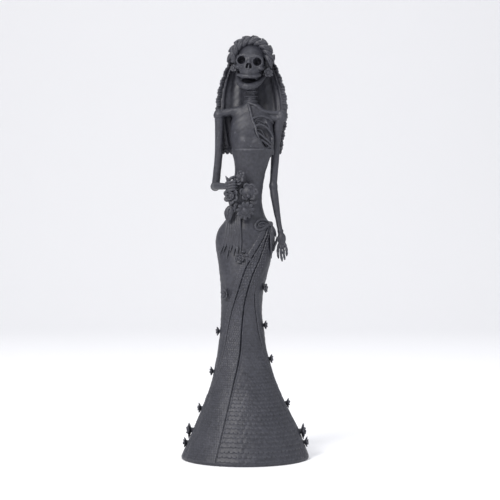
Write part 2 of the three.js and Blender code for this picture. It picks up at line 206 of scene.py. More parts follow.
def clay():
    """Dark fired clay: burnished where it stands proud; in the carving it is matt and painted near black as shade."""
    material = bpy.data.materials.new("black_clay")
    material.use_nodes = True
    nodes, link = material.node_tree.nodes, material.node_tree.links.new
    shader = nodes["Principled BSDF"]
    shader.inputs["IOR"].default_value = 1.45

    def noise(scale, detail, roughness=0.55):
        node = nodes.new("ShaderNodeTexNoise")
        node.inputs["Scale"].default_value = scale
        node.inputs["Detail"].default_value = detail
        node.inputs["Roughness"].default_value = roughness
        link(place.outputs["Object"], node.inputs["Vector"])
        return node

    def ramp(source, *stops):
        node = nodes.new("ShaderNodeValToRGB")
        for i, (at, value) in enumerate(stops):
            stop = node.color_ramp.elements[i] if i < 2 else node.color_ramp.elements.new(at)
            stop.position = at
            stop.color = (*value, 1) if isinstance(value, tuple) else (value, value, value, 1)
        link(source, node.inputs["Fac"])
        return node

    def mixed(kind, factor, a, b):
        node = nodes.new("ShaderNodeMix")
        node.data_type = "RGBA"
        node.blend_type = kind
        for source, socket in ((factor, node.inputs["Factor"]), (a, node.inputs["A"]), (b, node.inputs["B"])):
            if isinstance(source, (float, tuple)):
                socket.default_value = source
            else:
                link(source, socket)
        return node.outputs["Result"]

    place = nodes.new("ShaderNodeTexCoord")
    broad = noise(38, 4)
    mottle = noise(420, 5, 0.6)
    grain = noise(2600, 3, 0.6)
    wear_and_shade_source = nodes.new("ShaderNodeNewGeometry")
    colour = ramp(broad.outputs["Fac"], (0.3, (0.021, 0.022, 0.030)), (0.7, (0.034, 0.035, 0.045)))
    speckle = ramp(mottle.outputs["Fac"], (0.35, 0.62), (0.68, 1.25))
    colour = mixed("MULTIPLY", 1.0, colour.outputs["Color"], speckle.outputs["Color"])
    ridge = ramp(wear_and_shade_source.outputs["Pointiness"], (0.5, 0.0), (0.62, 1.0))
    colour = mixed("MIX", ridge.outputs["Color"], colour, (0.078, 0.08, 0.094, 1))
    # Painted shade: where the surface curves inward (low pointiness) the colour is mixed towards near black in place
    # of the shade in the hollows, and the same mask makes them matt.
    hollow_shade_and_matt = ramp(wear_and_shade_source.outputs["Pointiness"], (0.40, 1.0), (0.485, 0.0))
    colour = mixed("MIX", hollow_shade_and_matt.outputs["Color"], colour, (0.009, 0.009, 0.013, 1))
    link(colour, shader.inputs["Base Color"])
    sheen = ramp(mottle.outputs["Fac"], (0.3, 0.42), (0.7, 0.6))
    rough = mixed("MIX", hollow_shade_and_matt.outputs["Color"], sheen.outputs["Color"], (0.8, 0.8, 0.8, 1))
    link(rough, shader.inputs["Roughness"])
    normal = None
    for source, strength, depth in ((mottle, 0.35, 0.00035), (grain, 0.25, 0.00012)):
        node = nodes.new("ShaderNodeBump")
        node.inputs["Strength"].default_value = strength
        node.inputs["Distance"].default_value = depth
        link(source.outputs["Fac"], node.inputs["Height"])
        if normal:
            link(normal, node.inputs["Normal"])
        normal = node.outputs["Normal"]
    link(normal, shader.inputs["Normal"])
    return material


CLAY = clay()
count_of = {}


def piece(name, points, faces, share=1.0):
    """A finished piece of the figure from points in millimetres and faces of four corners each, where
    a triangle repeats a corner. A share below 1 thins the mesh out where it is smooth."""
    mesh = bpy.data.meshes.new(name)
    mesh.vertices.add(len(points))
    mesh.vertices.foreach_set("co", (np.asarray(points, np.float32) * MM).ravel())
    three = faces[:, 3] == faces[:, 0]
    sizes = np.where(three, 3, 4)
    corners = faces[~np.stack([three & (i == 3) for i in range(4)], 1)]
    mesh.loops.add(len(corners))
    mesh.loops.foreach_set("vertex_index", corners.astype(np.int32))
    mesh.polygons.add(len(faces))
    mesh.polygons.foreach_set("loop_start", np.append(0, np.cumsum(sizes)[:-1]).astype(np.int32))
    mesh.update(calc_edges=True)
    mesh.polygons.foreach_set("use_smooth", np.ones(len(faces), bool))
    mesh.materials.append(CLAY)
    ob = bpy.data.objects.new(name, mesh)
    bpy.context.scene.collection.objects.link(ob)
    triangles = int((sizes - 2).sum())
    if share < 1:
        thinner = ob.modifiers.new("thinner", "DECIMATE")
        thinner.ratio = share
        graph = bpy.context.evaluated_depsgraph_get()
        ob.data = bpy.data.meshes.new_from_object(ob.evaluated_get(graph))
        ob.modifiers.clear()
        ob.data.name = name
        bpy.data.meshes.remove(mesh)
        triangles = len(ob.data.polygons)
    count_of[name] = triangles
    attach(ob, "root")
    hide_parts(NODE)
    return ob


def quads(rows, columns, start=0, ring=False):
    """The faces between neighbouring points of a grid of rows, which may close round in a ring."""
    r, c = np.meshgrid(np.arange(rows - 1), np.arange(columns if ring else columns - 1), indexing="ij")
    a = start + r * columns + c
    b = start + r * columns + (c + 1) % columns
    return np.stack([a, b, b + columns, a + columns], -1).reshape(-1, 4)


class Form:
    """A form built up as a field of distances on a grid: shapes are added and cut one by one, with
    soft joins like pressed clay, and the surface is drawn where the distance is zero."""

    FAR = 8.0

    def __init__(self, low, high, cell):
        self.low = np.array(low, float)
        self.cell = cell * 1
        size = np.ceil((np.array(high) - self.low) / self.cell).astype(int) + 1
        self.value = np.full(size, self.FAR, np.float32)

    def window(self, low, high, room):
        first = np.floor((np.array(low) - room - self.low) / self.cell).astype(int)
        last = np.ceil((np.array(high) + room - self.low) / self.cell).astype(int) + 1
        first, last = np.maximum(first, 0), np.minimum(last, self.value.shape)
        axes = [self.low[i] + self.cell * np.arange(first[i], last[i]) for i in range(3)]
        return tuple(map(slice, first, last)), np.meshgrid(*axes, indexing="ij", sparse=True)

    def add(self, shape, soft=0.0):
        low, high, distance = shape
        where, place = self.window(low, high, soft + 2 * self.cell)
        old, new = self.value[where], distance(*place)
        joined = np.minimum(old, new)
        if soft:
            joined -= np.maximum(soft - np.abs(old - new), 0) ** 2 / (4 * soft)
        self.value[where] = joined
        return self

    def cut(self, shape, soft=0.0):
        low, high, distance = shape
        where, place = self.window(low, high, soft + 2 * self.cell)
        old, new = self.value[where], -distance(*place)
        left = np.maximum(old, new)
        if soft:
            left += np.maximum(soft - np.abs(old - new), 0) ** 2 / (4 * soft)
        self.value[where] = left
        return self

    def skin(self):
        """The points and faces of the surface: one point in each cube that the surface crosses."""
        value = self.value
        for i in range(3):  # nothing runs out of the grid, so the surface closes
            for edge in (0, -1):
                value[(slice(None),) * i + (edge,)] = self.FAR
        inside = value < 0
        n = np.array(value.shape) - 1
        corners = list(product((0, 1), repeat=3))
        held = sum(inside[a:n[0] + a, b:n[1] + b, c:n[2] + c].astype(np.int8) for a, b, c in corners)
        cube = np.argwhere((held > 0) & (held < 8))
        at = [value[tuple((cube + corner).T)] for corner in corners]
        total, crossings = np.zeros((len(cube), 3)), np.zeros(len(cube))
        for i, j in product(range(8), repeat=2):
            step = np.subtract(corners[j], corners[i])
            if i < j and abs(step).sum() == 1:
                crossed = (at[i] < 0) != (at[j] < 0)
                share = np.where(crossed, at[i] / np.where(crossed, at[i] - at[j], 1), 0)
                total += (crossed[:, None] * corners[i]) + share[:, None] * step
                crossings += crossed
        points = self.low + self.cell * (cube + total / crossings[:, None])
        number = np.full(tuple(n), -1, np.int32)
        number[tuple(cube.T)] = np.arange(len(cube))
        faces = []
        for axis in range(3):
            u, v = np.eye(3, dtype=int)[[(axis + 1) % 3, (axis + 2) % 3]]
            ahead = np.roll(inside, -1, axis)
            edge = np.argwhere((inside != ahead) & (np.indices(inside.shape)[axis] < n[axis]))
            ring = [number[tuple((edge - a * u - b * v).T)] for a, b in ((0, 0), (1, 0), (1, 1), (0, 1))]
            ring = np.stack(ring, 1)
            backward = ahead[tuple(edge.T)]
            ring[backward] = ring[backward][:, ::-1]
            faces.append(ring)
        return points, np.concatenate(faces)


def ball(centre, radii, axes=None):
    """An ellipsoid, whose own axes may be turned."""
    centre, radii = np.array(centre, float), np.array(radii, float) * np.ones(3)
    axes = np.eye(3) if axes is None else np.array(axes, float)
    reach = np.sqrt(((axes * radii[:, None]) ** 2).sum(0))

    def distance(x, y, z):
        own = [a[0] * (x - centre[0]) + a[1] * (y - centre[1]) + a[2] * (z - centre[2]) for a in axes]
        near = np.sqrt(sum((o / r) ** 2 for o, r in zip(own, radii)))
        slope = np.sqrt(sum((o / r**2) ** 2 for o, r in zip(own, radii)))
        return near * (near - 1) / np.maximum(slope, 1e-6)

    return centre - reach, centre + reach, distance


def rod(points, radius, flat=1.0, facing=(0, -1, 0), steps=12):
    """A rod on a smooth curve. The radius is one value or several spread along it, and flat is its
    thickness towards facing as a share of its width."""
    line = curve(points, steps + 1)
    given = np.array([radius]).ravel().astype(float)
    size = np.interp(np.linspace(0, 1, steps + 1), np.linspace(0, 1, max(len(given), 2)),
                     given if len(given) > 1 else given.repeat(2))
    n = unit(facing)
    most = size.max()

    def distance(x, y, z):
        best = None
        for a, b, ra, rb in zip(line[:-1], line[1:], size[:-1], size[1:]):
            along = b - a
            p = [q - c for q, c in zip((x, y, z), a)]
            t = np.clip(sum(q * c for q, c in zip(p, along)) / max(along @ along, 1e-9), 0, 1)
            off = [q - t * c for q, c in zip(p, along)]
            square = sum(o * o for o in off)
            if flat != 1:
                deep = sum(o * c for o, c in zip(off, n))
                square = square + deep * deep * (1 / flat**2 - 1)
            d = np.sqrt(square) - (ra + t * (rb - ra))
            if flat < 1:
                d = d * (0.5 + 0.5 * flat)
            best = d if best is None else np.minimum(best, d)
        return best

    return line.min(0) - most, line.max(0) + most, distance


def frame_of(facing, turn=0.0):
    """Three axes of which the third points along facing."""
    w = unit(facing)
    u = unit(np.cross((0, 0, 1) if abs(w[2]) < 0.9 else (0, 1, 0), w))
    v = np.cross(w, u)
    return cos(turn) * u + sin(turn) * v, -sin(turn) * u + cos(turn) * v, w


def flower(form, centre, facing, radius, petals=5, inner=0, turn=0.0, cup=0.45, thick=0.16):
    """A flower of cupped petals round a bud, and its foot reaching back into what it sits on."""
    u, v, w = frame_of(facing, turn)
    centre = np.array(centre, float)
    form.add(rod([centre - w * radius * 0.9, centre], [radius * 0.3, radius * 0.42], steps=2), 0.3)
    rings = [(petals, 0.58, 0.46, cup, 0.05)]
    if inner:
        rings.append((inner, 0.32, 0.34, cup + 0.6, 0.26))
    for count, reach, size, lean, rise in rings:
        for i in range(count):
            a = 2 * pi * (i + 0.5 * (rise > 0.1)) / count
            out = cos(a) * u + sin(a) * v
            across = -sin(a) * u + cos(a) * v
            long = cos(lean) * out + sin(lean) * w
            normal = np.cross(long, across)
            middle = centre + radius * (reach * out + rise * w)
            wide = size * min(1.0, 4.3 / count + 0.12)
            form.add(ball(middle, radius * np.array([size, wide, thick]), [long, across, normal]), 0.12)
            tip = middle + radius * size * 0.75 * long
            form.cut(rod([middle - radius * 0.3 * size * long + w * radius * thick * 1.15,
                          tip + w * radius * thick * 1.3], [0.05 * radius, 0.09 * radius], steps=2), 0.15)
    bud = centre + w * radius * (0.22 if inner else 0.12)
    form.add(ball(bud, radius * (0.2 if inner else 0.24)), 0.1)
    return form


def leaf(form, points, width, thick=0.32, facing=(0, -1, 0), steps=8):
    """A leaf on a curve, with a sunk midrib."""
    form.add(rod(points, [0.35 * width, 0.85 * width, width, 0.75 * width, 0.2 * width], thick, facing, steps), 0.15)
    face = unit(facing) * width * thick
    inner = curve(points, 7)[1:-1] + face
    form.cut(rod(inner, 0.12 * width, steps=4), 0.1)
    return form


# ---- The dress, from the hem to under the bust

def front_bearing(line, z):
    """The bearing in radians at which a line down the front crosses each height."""
    x, _, w, _ = section(z)
    return np.arcsin(np.clip((through(line, z) - x) / w, -0.96, 0.96))


def scales(s, z, pitch, high):
    """Fish scales that hang in rows, each overlapping the row below with a raised round edge."""
    v = z / pitch
    relief = np.zeros(np.broadcast(s, z).shape)
    for back in (1, 0):
        row = np.floor(v) + back
        u = (s / pitch + 0.5 * (row % 2)) % 1 - 0.5
        down = row + 1 - v  # 0 at the row's top line, 1 at its bottom line
        reach = 0.62 + 0.78 * np.sqrt(np.maximum(0.25 - u**2, 0)) * 2 * 0.62
        lies = (down >= 0) & (down < reach)
        tilt = high * (0.25 + 0.75 * (down / 1.2) ** 1.3) * (1 - 0.9 * np.abs(u) ** 2.5)
        relief = np.where(lies, np.maximum(tilt, 0), relief)
    return relief


def dress_relief(theta, z, edges):
    """How far the wrap, its lace, seams, beads and scales stand out of the body, in millimetres."""
    _, _, w, d = section(z)
    wrap, left, right = edges
    stretch = [np.hypot(w * np.cos(b), d * np.sin(b)) for b in edges]
    from_wrap, from_left, from_right = ((theta - b) * s for b, s in zip(edges, stretch))
    on_lines = smooth(221, 213, z)
    fade = smooth(RIGHT_SEAM_TOP + 8, RIGHT_SEAM_TOP - 6, z)
    front = np.cos(theta) > -0.2
    lace_wave = 0.7 * np.abs(np.sin(pi * z / 3.4))
    relief = np.zeros(np.broadcast(theta, z).shape)

    in_wrap = (from_wrap >= 0) & (from_left < 0) & front
    fine = cells(from_wrap / 2.1, z / 2.1, 3)
    large = cells(from_wrap / 2.7, z / 2.7, 5)
    hip = smooth(120, 170, z)
    beads = (1 - hip) * 0.34 * bump(fine, 0.5) + hip * 0.6 * bump(large, 0.5)
    relief = np.where(in_wrap, (0.55 + beads) * on_lines, relief)

    panel = (from_left >= 0) & (from_right < 0) & front
    pitch = np.interp(z, (0, 20, 60, 110, 160), (4.5, 4.3, 3.3, 2.5, 2.3))
    rise = np.cumsum(np.append(0, np.diff(np.interp(np.arange(0, 300), (0, 20, 60, 110, 160), (4.5, 4.3, 3.3, 2.5, 2.3)) ** -1)))
    middle = 0.5 * (from_left + from_right)
    row = np.interp(z, np.arange(0, 300), np.cumsum(np.interp(np.arange(0, 300), (0, 20, 60, 110, 160), (4.5, 4.3, 3.3, 2.5, 2.3)) ** -1))
    relief = np.where(panel, scales(middle / pitch, row, 1.0, 1.0) * np.interp(z, (0, 55, 90, 150, 190), (0.8, 0.75, 0.34, 0.3, 0.42)) * on_lines, relief)
    above = smooth(150, 172, z) * on_lines
    relief = np.where(panel, relief * (1 - above) + above * (0.25 + 0.55 * bump(large, 0.5)), relief)

    lace = (from_wrap < 0) & (from_wrap > -5.4 - lace_wave) & front
    pattern = cells(from_wrap / 1.8 + 0.25, z / 1.8, 8, 0.15)
    eyelets = 0.42 * bump(pattern, 0.46)
    relief = np.where(lace, (0.5 + eyelets) * on_lines, relief)
    side = (from_right >= 0) & (from_right < 5.8 + lace_wave) & front
    pattern = cells(from_right / 1.9, z / 1.9, 11, 0.15)
    relief = np.where(side, (0.5 + 0.4 * bump(pattern, 0.46)) * fade, relief)

    for away, strength, turned in ((from_wrap, on_lines, 1), (from_left, on_lines, 1), (from_right, fade, -1)):
        groove = np.exp(-((away / 0.55) ** 2)) * front
        roll = np.exp(-(((away - 1.25 * turned) / 0.7) ** 2)) * front
        relief = relief + strength * (0.55 * roll - 1.5 * groove)
    return relief


def dress():
    """The dress in one closed skin, with its columns lined up on the wrap's edge and the seams."""
    coarse = 1
    z = np.concatenate([
        np.arange(0, 3, 0.5),
        np.arange(3, 96, 0.47 * coarse),
        np.arange(96, 222, 0.55 * coarse),
        np.arange(222, TOP_OF_DRESS + 0.1, 1.0 * coarse),
    ])
    wrap, left, right = (front_bearing(line, z) for line in (WRAP_EDGE, LEFT_SEAM, RIGHT_SEAM))
    left = np.maximum(left, wrap + 0.08)
    right = np.maximum(right, left + 0.08)
    _, _, w, d = section(z)
    lace_left = wrap - 6.6 / np.hypot(w * np.cos(wrap), d * np.sin(wrap))
    lace_right = right + 6.8 / np.hypot(w * np.cos(right), d * np.sin(right))
    start = np.full(len(z), -pi)
    flank = np.minimum(lace_left - 0.12, -pi / 2)
    far = np.maximum(lace_right + 0.12, pi / 2)
    stops = [start, flank, lace_left, wrap, left, right, lace_right, far, start + 2 * pi]
    counts = [34, 40, 15, 66, 176, 15, 16, 34]
    columns = []
    for a, b, count in zip(stops[:-1], stops[1:], counts):
        count = max(int(count / coarse), 3)
        share = np.arange(count) / count
        columns.append(a[:, None] * (1 - share) + b[:, None] * share)
    theta = np.concatenate(columns, 1)
    rows, across = theta.shape
    height = np.repeat(z[:, None], across, 1)
    edges = [e[:, None] for e in (wrap, left, right)]
    relief = dress_relief(theta, height, edges) * smooth(1.2, 3.6, height)
    back = smooth(0.15, -0.5, np.cos(theta))
    relief += back * 1.1 * smooth(0, 30, height) * smooth(215, 120, height) * np.cos(9 * theta) ** 3
    relief -= back * 0.7 * np.exp(-(((theta % (2 * pi) - pi) * 20) ** 2)) * smooth(4, 10, height)
    x, y, w, d = section(height)
    waist = smooth(262, 276, height + 0.12 * np.abs(w * np.sin(theta)) - 5) * (np.cos(theta) > 0)
    relief += 0.5 * waist * np.cos(theta).clip(0) ** 0.5
    px = x + (w + relief) * np.sin(theta)
    py = y - (d + relief) * np.cos(theta) - np.cos(theta).clip(0) * bust(x + w * np.sin(theta), height)
    soft = 0.22 * lumps(px, py, height, 13, 1) + 0.1 * lumps(px, py, height, 5, 2)
    soft *= smooth(0.5, 5, height)
    px += soft * np.sin(theta)
    py -= soft * np.cos(theta)
    points = np.stack([px, py, height], -1).reshape(-1, 3)
    foot, top = len(points), len(points) + 1
    points = np.concatenate([points, [(HEM[1], HEM[2], 0), (7, -1, TOP_OF_DRESS)]])
    ring = np.arange(across)
    after = (ring + 1) % across
    last = (rows - 1) * across
    faces = np.concatenate([
        quads(rows, across, ring=True),
        np.stack([after, ring, np.full(across, foot), after], 1),
        np.stack([last + ring, last + after, np.full(across, top), last + ring], 1),
    ])
    piece("dress", points, faces, share=0.5)


# ---- The chest, neck and shoulders

BODICE_EDGE = ((3.6, 334), (5.4, 326), (7.0, 318.5), (9.8, 312), (10.6, 307.5), (14, 299), (18, 292.6),
               (21.5, 290.8), (26.6, 287.6))


def bodice():
    form = Form((-36, -30, 278), (44, 22, 358), 0.42)
    edge_x = [(z, x) for x, z in BODICE_EDGE][::-1]

    def chest(x, y, z):
        cx, cy, w, d = section(z)
        bare = smooth(-0.2, 0.5, x - through(edge_x, z)) * (y < cy)
        w, d = w - 0.2 * bare, d - 1.0 * bare
        forward = y + bust(x, z) * np.clip(-(y - cy) / d, 0, 1)
        u, v = (x - cx) / w, (forward - cy) / d
        near = np.sqrt(u**2 + v**2)
        slope = np.sqrt((u / w) ** 2 + (v / d) ** 2)
        side = near * (near - 1) / np.maximum(slope, 1e-6)
        shelf = 286.6 + 0.9 * np.cos((x - 6) / 5.5) - z
        return np.maximum(np.maximum(side, shelf), z - 337)

    form.add(((-16, -22, 285), (30, 18, 338), chest))
    form.add(rod([(-5, 0.5, 329), (-24.5, 1, 325.5)], [4.2, 3.6], steps=2), 3)
    form.add(rod([(4, 0, 332.5), (-7, 0.2, 328.4), (-26, 1, 326.8)], [3.6, 2.8, 2.4], steps=8), 1.2)
    form.add(ball((-24.8, 1.2, 324.2), (5, 4.6, 4.8)), 1.5)
    form.add(rod([(14, 2, 324), (33, 2.5, 321)], [4, 4.2], steps=3), 2)
    form.add(rod([(5, -2, 335), (11, -3.2, 332.5), (16, -3, 328.6), (22, -1.4, 326.8), (36.5, 1, 326.2)],
                 [2, 2.2, 2.1, 2, 2.4], steps=12), 0.8)
    form.add(ball((34.6, 1.6, 322.6), (4.8, 4.6, 5.4)), 1.5)

    turned = frame_of((0, 0, 1))
    hollow_axes = [(cos(0.24), 0, sin(0.24)), (0, 1, 0), (-sin(0.24), 0, cos(0.24))]
    form.cut(ball((17.4, -13.5, 308), (8.4, 9.6, 15.2), hollow_axes), 0.5)
    form.cut(ball((16.4, -11, 318), (6.4, 5.5, 4.6)), 0.6)

    ribs = (
        ([(6.6, 320.6), (11, 322.4), (16, 322.8), (22.5, 320.5), (26.4, 316.8)], 1.15, 0.6),
        ([(9, 313.6), (14.9, 314.7), (20.2, 311.6), (24.4, 306.2), (25.7, 301.5), (24, 297)], 1.05, 0.5),
        ([(11, 307.6), (14.9, 304.8), (19.7, 300.9), (24, 296.8)], 0.95, 0.5),
        ([(15.6, 300.2), (20.8, 296.4), (25.2, 292), (27, 288.6)], 0.95, 0.5),
    )
    for line, radius, out in ribs:
        form.add(rod([on_front(x, z, out) for x, z in line], radius, steps=14), 0.25)
    inner = (
        ([(8, 317), (15, 318.6), (23, 314.6)], 3.4),
        ([(10.5, 310), (16.5, 309.6), (22.5, 301)], 3.6),
        ([(13, 303.5), (18, 300), (22.5, 294.6)], 3.2),
    )
    for line, deep in inner:
        form.add(rod([on_front(x, z, -deep) for x, z in line], 0.85, steps=10), 0.2)

    lip = curve([on_front(x, z, 0.35) for x, z in BODICE_EDGE], 60)
    for i, (a, b) in enumerate(zip(lip[:-1], lip[1:])):
        swell = 1.0 + 0.35 * abs(sin(i * pi / 6.5))
        form.add(rod([a, b], swell, steps=1), 0.25)

    foot, top, r = NECK["foot"], NECK["top"], NECK["r"]
    nx, ny = NECK["x"], NECK["y"]
    form.add(rod([(nx, ny, foot - 4), (nx, ny, top + 3)], r - 0.9, steps=2), 1.2)
    bones = 5
    pitch = (top - foot) / bones
    for i in range(bones):
        z = foot + (i + 0.5) * pitch
        form.add(ball((nx, ny, z), (r + 0.5, r + 0.3, pitch * 0.36)), 0.35)
        form.cut(ball((nx + 0.3, ny - r - 0.9, z), (2.1, 1.4, 0.55)), 0.3)
        for side in (-1, 1):
            form.add(ball((nx + side * (r + 0.1), ny - 0.4, z - 0.2), (1.1, 1.5, 0.8)), 0.4)
    points, faces = form.skin()
    x, y, z = points.T
    points += 0.09 * lumps(x, y, z, 4.5, 4)[:, None] * np.array([0.5, -1, 0.3])
    piece("bodice", points, faces)


# ---- The skull

def head_place():
    """The axes of the head: to its side, to its back and up."""
    roll, yaw = radians(HEAD["roll"]), radians(HEAD["yaw"])
    turn = np.array([[cos(yaw), -sin(yaw), 0], [sin(yaw), cos(yaw), 0], [0, 0, 1]])
    lean = np.array([[cos(roll), 0, sin(roll)], [0, 1, 0], [-sin(roll), 0, cos(roll)]])
    return turn @ lean


def skull():
    """Modelled in the head's own frame, x to its side, y to its back and z up, then set in place."""
    form = Form((-20, -21, -30), (20, 22, 26), 0.32)
    form.add(ball((0, 2, 6), (14.6, 16.6, 15)))
    form.add(ball((0, -8, 3.4), (12.6, 9, 8)), 3)
    form.add(ball((0.2, -8.2, -6), (9.4, 9.4, 9.6)), 3)
    for side in (-1, 1):
        form.add(ball((side * 10.4, -8.6, -3.2), (3.6, 6.4, 2.8)), 2.5)  # cheekbones
        form.add(rod([(side * 12.4, -6, -1.6), (side * 13.6, 3, -1.6)], [1.6, 1.3], steps=4), 1.2)
        form.cut(ball((side * 14.6, -9.5, -10), (5.2, 9, 5.4)), 2)
        form.cut(ball((side * 15.6, -5, 5.6), (2.8, 5.5, 4.6)), 2)  # temples
    eyes = ((-7.5, 3.2), (7.7, 2.4))
    for x, z in eyes:
        form.add(ball((x, -12.2, z), (5.5, 4.2, 5.1)), 1.2)
    form.add(rod([(-11.5, -12.5, 6.6), (-6.5, -15.4, 8.2), (0, -15.6, 6.6), (6.5, -15.4, 7.6), (11.6, -12.5, 5.8)],
                 [1, 1.3, 1, 1.3, 1], steps=12), 1.2)
    for x, z in eyes:
        form.cut(ball((x, -15.4, z), (4.0, 8.2, 3.8)), 0.5)
    form.add(rod([(0, -15, 5), (0, -17.2, 1.6)], [1.6, 1.9], steps=3), 1.2)  # bridge of the nose
    for side in (-1, 1):
        across = [unit((1, 0, 0.3 * side)), (0, 1, 0), unit((-0.3 * side, 0, 1))]
        form.cut(ball((side * 1.45, -17.6, -1.9), (1.45, 5, 2.7), across), 0.25)
        form.add(ball((side * 2.2, -16.6, -4.9), (1.1, 1.1, 0.7)), 0.6)
    form.add(rod([(0, -16.2, -1), (0, -17.4, -4.6)], [0.55, 0.7], steps=3), 0.3)

    form.add(rod([(-9.6, -10, -10.2), (-5.4, -15.2, -11.4), (0.2, -17, -11.6), (5.8, -15.2, -11.2), (10, -10, -9.4)],
                 [1.6, 2.1, 2.2, 2.1, 1.6], steps=12), 1.4)  # gum line
    mouth = [(-11.6, -9, -13.8), (-6.2, -15.4, -15.2), (0.4, -17.6, -15.6), (6.8, -15, -14.8), (12.4, -8, -11.2)]
    jaw = [(-12.4, 3.4, -3), (-11.2, 0, -12), (-8.2, -7, -18), (-3, -13.2, -20.6), (1.6, -14.4, -21),
           (6.2, -12, -19.2), (10.2, -6, -14.8), (12.6, 0, -9.4), (12.9, 4, -3)]
    form.add(ball((0.4, -4, -14), (8.6, 8.6, 7.4)), 1.5)
    form.cut(rod(mouth, [1.9, 2.2, 2.3, 2.2, 1.5], steps=14), 0.3)
    form.cut(ball((0.6, -10.5, -15.3), (8.4, 7.6, 2.5)), 0.3)
    form.add(rod(jaw, [1.9, 2.4, 2.9, 3.1, 3.2, 3.0, 2.7, 2.2, 1.8], 0.8, (0, -1, 0), steps=24), 0.7)
    for i in range(9):  # teeth are only pressed lines
        a = radians(-62 + 15.5 * i)
        for z0, z1 in ((-13.3, -10.6), (-18.6, -17.4)):
            foot = (0.3 + 9.4 * sin(a), -8.6 - 9.2 * cos(a), z0)
            head = (0.3 + 9.3 * sin(a), -8.4 - 9.1 * cos(a), z1)
            form.cut(rod([foot, head], 0.28, steps=1), 0.15)
    points, faces = form.skin()
    x, y, z = points.T
    points += 0.08 * lumps(x, y, z, 3.5, 6)[:, None] * unit((0.4, -1, 0.5))
    piece("skull", points @ head_place().T + HEAD["at"], faces)


# ---- The crown, its sprigs and the flowers at the ears

def crown():
    form = Form((-20, -18, 352), (36, 12, 402), 0.36)

    def at(angle, reach, y):
        a = radians(angle)
        return np.array([CROWN["x"] + reach * cos(a), y, CROWN["z"] + reach * sin(a)])

    form.add(rod([at(a, CROWN["r"] - 1.4, CROWN["y"] + 1) for a in (184, 140, 95, 50, 5, -20)], 3.2, steps=20))
    start, end = 181, -18
    rows = (
        {"y": CROWN["y"] - 3.2, "count": 9, "reach": CROWN["r"], "long": 7.4, "wide": 2.7, "lean": 30},
        {"y": CROWN["y"] + 2.2, "count": 8, "reach": CROWN["r"] + 2, "long": 6.6, "wide": 2.3, "lean": -26},
    )
    for n, row in enumerate(rows):
        for i in range(row["count"]):
            angle = start + (end - start) * (i + 0.5) / row["count"]
            middle = at(angle, row["reach"], row["y"] - 0.8)
            tilt = radians(angle - 90 + row["lean"])
            along = np.array([cos(tilt), 0, sin(tilt)])
            bow = np.array([cos(radians(angle)), -0.6, sin(radians(angle))])
            tail = middle - along * row["long"] - bow * 1.1 + (0, 1.6, 0)
            tip = middle + along * row["long"] - bow * 0.9 + (0, 1.2, 0)
            wide = row["wide"]
            form.add(rod([tail, middle, tip], [0.5 * wide, wide, 1.05 * wide, 0.75 * wide, 0.2 * wide], steps=9), 0.12)
            vein = [p + (0, -0.9 * wide, 0) for p in (middle - along * 3.6, middle, middle + along * 4.2)]
            form.cut(rod(vein, [0.2, 0.42, 0.15], steps=4), 0.3)
    for angle, reach, lean in ((150, 19.8, 60), (128, 20.6, 25), (96, 20.4, 12), (66, 20, -20), (38, 20.2, -50)):
        base = at(angle, reach - 2, CROWN["y"] - 1)
        a = radians(angle + lean * 0.4)
        leaf(form, [base, base + 3.4 * np.array([cos(a), -0.3, sin(a)])], 1.2, 0.5, steps=4)
    for dx, dz in ((4.6, 3.4), (5.4, -0.4), (3.4, -3.8), (1.6, 5.2)):  # sprig at the temple
        base = np.array([21.2, -7, 382.6])
        leaf(form, [base, base + (0.6 * dx, -1.2, 0.6 * dz), base + (dx, -0.6, dz)], 1.35, 0.5, steps=5)
    for centre, facing, radius in (((-10.4, -7.6, 367.8), (-0.35, -1, 0.1), 3.5), ((21.6, -7, 363.8), (0.35, -1, 0), 4.6)):
        centre = np.array(centre)
        form.add(rod([centre + (0, 1, 0), centre + (-0.25 * centre[0] * 0.5, 10, 1)], [1.6, 2.2], steps=3), 0.3)
        flower(form, centre, facing, radius, petals=5, turn=0.3)
        for a in (200, 330, 80):
            tip = centre + radius * 1.25 * np.array([cos(radians(a)), 0.1, sin(radians(a))])
            leaf(form, [centre, (centre + tip) / 2 + (0, -0.5, 0), tip], radius * 0.3, 0.45, steps=4)
    points, faces = form.skin()
    piece("crown", points, faces)


# ---- The veil

VEIL = {"x": 6.2, "foot": 290, "top": HEIGHT - 8, "thick": 2.4, "reach": radians(78)}
VEIL_HALF_WIDTH = ((290, 28), (306, 30.5), (322, 33), (340, 32.6), (357, 28.6), (376, 20.5), (392, 11))
VEIL_BACK = ((290, 13.5), (320, 11.5), (345, 15.5), (372, 19), (385, 16), (392, 8))
VEIL_WRAP = ((290, 5), (322, 8), (345, 12), (372, 16), (392, 8))


